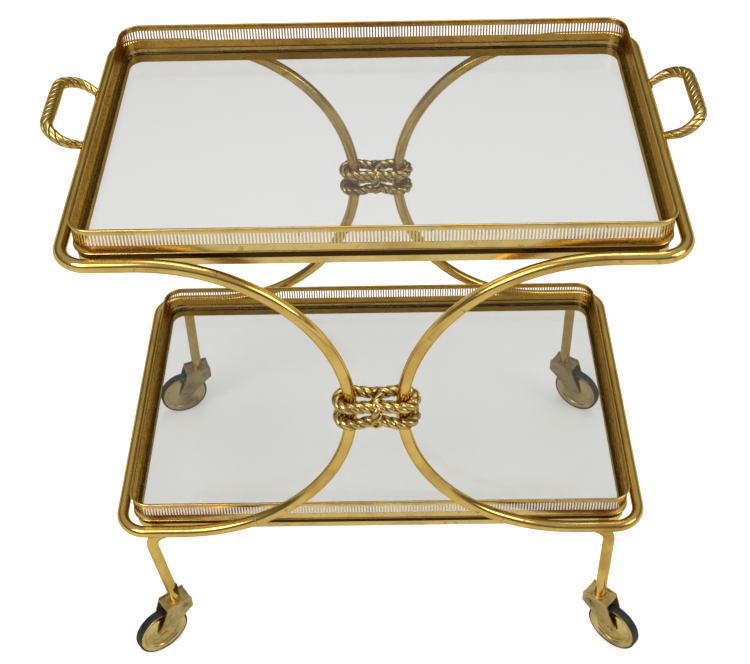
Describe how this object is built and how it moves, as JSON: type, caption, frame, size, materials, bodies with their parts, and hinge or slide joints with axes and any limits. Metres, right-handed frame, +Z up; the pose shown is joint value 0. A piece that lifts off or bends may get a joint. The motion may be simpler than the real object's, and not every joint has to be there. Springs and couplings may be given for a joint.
{
  "type": "bar_cart",
  "caption": "Two-tier brass bar cart with glass trays, pierced galleries, curved tube sides tied by rope knots, rope handles and swivel casters.",
  "frame": {"origin": "on the floor under the middle of the cart", "axes": "+X to the right along the long side, +Y to the back, +Z up"},
  "size_m": [0.8352, 0.5568, 0.76],
  "materials": {
    "tube_brass": "worn polish",
    "strip_brass": "worn polish",
    "dark_brass": "dark patina",
    "cast_brass": "cast, worn high spots",
    "caster_brass": "dull, aged",
    "tray_glass": "clear",
    "tyre_rubber": "matt dark grey",
    "screw_metal": "dark, oxidised"
  },
  "bodies": {
    "frame": {"left_upper_rail": "tube_brass", "left_lower_rail": "tube_brass", "left_front_arc": "tube_brass", "left_back_arc": "tube_brass", "left_handle": "cast_brass", "right_upper_rail": "tube_brass", "right_lower_rail": "tube_brass", "right_front_arc": "tube_brass", "right_back_arc": "tube_brass", "right_handle": "cast_brass", "upper_gallery_front": "strip_brass", "upper_gallery_back": "strip_brass", "upper_gallery_left": "strip_brass", "upper_gallery_right": "strip_brass", "upper_gallery_corners": "strip_brass", "upper_gallery_bead": "strip_brass", "upper_tray_channel": "dark_brass", "upper_frame_bar": "strip_brass", "upper_glass": "tray_glass", "upper_tray_lugs": "dark_brass", "lower_gallery_front": "strip_brass", "lower_gallery_back": "strip_brass", "lower_gallery_left": "strip_brass", "lower_gallery_right": "strip_brass", "lower_gallery_corners": "strip_brass", "lower_gallery_bead": "strip_brass", "lower_tray_channel": "dark_brass", "lower_frame_bar": "strip_brass", "lower_glass": "tray_glass", "lower_tray_lugs": "dark_brass", "front_knot": "cast_brass", "front_left_leg": "tube_brass", "front_right_leg": "tube_brass", "back_knot": "cast_brass", "back_left_leg": "tube_brass", "back_right_leg": "tube_brass", "knot_screws": "screw_metal", "handle_screws": "screw_metal", "caster_stems": "screw_metal"},
    "front_left_swivel": {"front_left_fork": "caster_brass", "front_left_rivets": "caster_brass"},
    "front_left_wheel": {"front_left_wheel_disc": "caster_brass", "front_left_tyre": "tyre_rubber"},
    "front_right_swivel": {"front_right_fork": "caster_brass", "front_right_rivets": "caster_brass"},
    "front_right_wheel": {"front_right_wheel_disc": "caster_brass", "front_right_tyre": "tyre_rubber"},
    "back_left_swivel": {"back_left_fork": "caster_brass", "back_left_rivets": "caster_brass"},
    "back_left_wheel": {"back_left_wheel_disc": "caster_brass", "back_left_tyre": "tyre_rubber"},
    "back_right_swivel": {"back_right_fork": "caster_brass", "back_right_rivets": "caster_brass"},
    "back_right_wheel": {"back_right_wheel_disc": "caster_brass", "back_right_tyre": "tyre_rubber"}
  },
  "joints": [
    {"name": "front_left_swivels", "type": "hinge", "parent": "frame", "child": "front_left_swivel", "pos_m": [-0.3, -0.2265, 0.09], "axis": [0, 0, 1], "continuous": true},
    {"name": "front_left_rolls", "type": "hinge", "parent": "front_left_swivel", "child": "front_left_wheel", "pos_m": [-0.32396, -0.24455, 0.04], "axis": [-0.6018, 0.7986, 0], "continuous": true},
    {"name": "front_right_swivels", "type": "hinge", "parent": "frame", "child": "front_right_swivel", "pos_m": [0.316, -0.2265, 0.09], "axis": [0, 0, 1], "continuous": true},
    {"name": "front_right_rolls", "type": "hinge", "parent": "front_right_swivel", "child": "front_right_wheel", "pos_m": [0.33829, -0.24657, 0.04], "axis": [-0.6691, -0.7431, 0], "continuous": true},
    {"name": "back_left_swivels", "type": "hinge", "parent": "frame", "child": "back_left_swivel", "pos_m": [-0.316, 0.2525, 0.09], "axis": [0, 0, 1], "continuous": true},
    {"name": "back_left_rolls", "type": "hinge", "parent": "back_left_swivel", "child": "back_left_wheel", "pos_m": [-0.34382, 0.24126, 0.04], "axis": [-0.3746, 0.9272, 0], "continuous": true},
    {"name": "back_right_swivels", "type": "hinge", "parent": "frame", "child": "back_right_swivel", "pos_m": [0.316, 0.2525, 0.09], "axis": [0, 0, 1], "continuous": true},
    {"name": "back_right_rolls", "type": "hinge", "parent": "back_right_swivel", "child": "back_right_wheel", "pos_m": [0.34027, 0.23487, 0.04], "axis": [-0.5878, -0.809, 0], "continuous": true}
  ]
}
